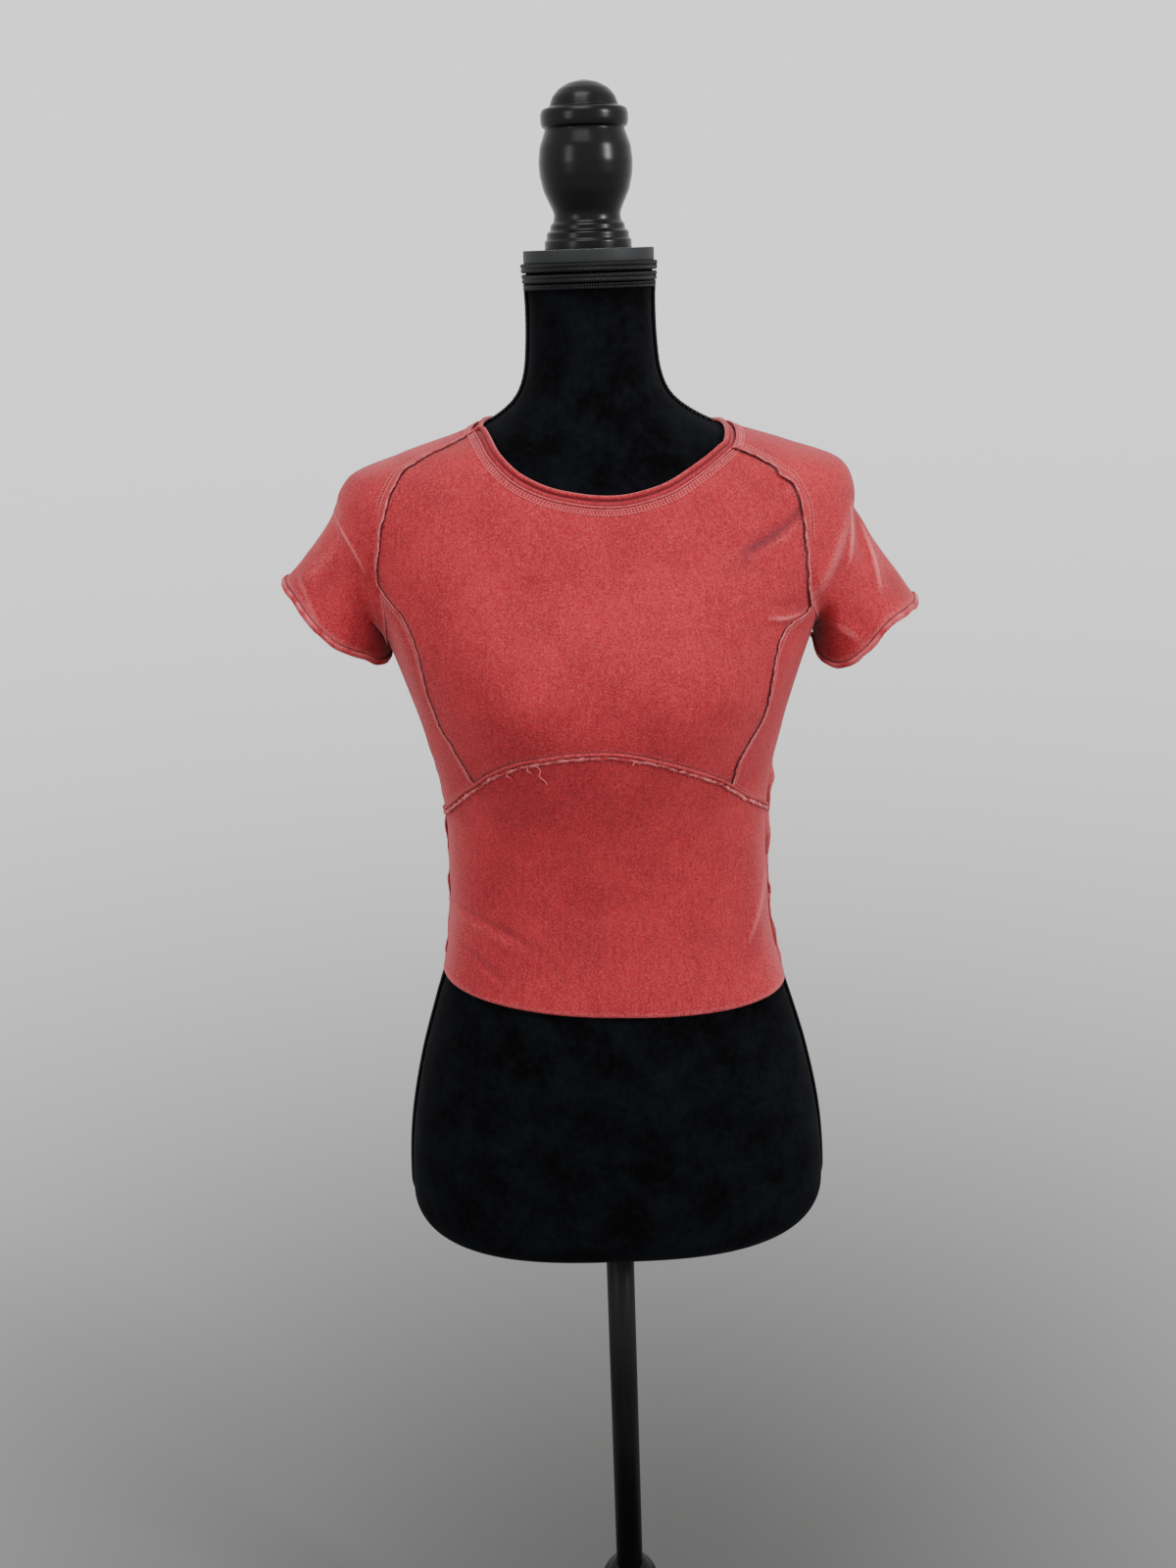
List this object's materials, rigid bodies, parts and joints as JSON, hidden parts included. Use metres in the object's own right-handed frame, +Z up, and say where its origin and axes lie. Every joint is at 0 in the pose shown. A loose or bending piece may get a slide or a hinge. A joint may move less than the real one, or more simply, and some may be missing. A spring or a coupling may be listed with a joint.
{
  "type": "crop top on a dress form",
  "caption": "Short jersey crop top with curved raglan cap sleeves and raw rolled seams, worn by a limbless dress form on a pole stand with a round foot and a turned finial.",
  "frame": {"origin": "centre of the foot's underside, on the floor", "axes": "+Z up, front of the garment faces -Y, +X to the viewer's right"},
  "size_m": [0.4633, 0.33, 1.4175],
  "materials": {
    "jersey": "pigment washed coral red jersey, soft nap",
    "rolled_edge": "raw rolled jersey edge, paler than the cloth",
    "velour": "black stretch velour",
    "braid": "black gimp braid and twisted cord",
    "satin": "dark grey satin",
    "lacquer": "gloss black lacquer on turned wood",
    "pole_metal": "black painted tube"
  },
  "bodies": {
    "root": {"dress_form": "velour", "neck_braid": "braid", "neck_cord_left": "braid", "neck_cord_right": "braid", "hip_cord_left": "braid", "hip_cord_right": "braid", "neck_plate": "satin", "finial": "lacquer", "pole": "pole_metal", "pole_collar": "lacquer", "foot": "lacquer", "front_bodice": "jersey", "side_front_left": "jersey", "side_front_right": "jersey", "front_waist": "jersey", "back_panel": "jersey", "sleeve_left": "jersey", "sleeve_right": "jersey", "neckband": "jersey", "underbust_seam": "rolled_edge", "raglan_front_left": "rolled_edge", "raglan_back_left": "rolled_edge", "princess_left": "rolled_edge", "side_seam_left": "rolled_edge", "sleeve_hem_left": "rolled_edge", "raglan_front_right": "rolled_edge", "raglan_back_right": "rolled_edge", "princess_right": "rolled_edge", "side_seam_right": "rolled_edge", "sleeve_hem_right": "rolled_edge"}
  },
  "joints": []
}
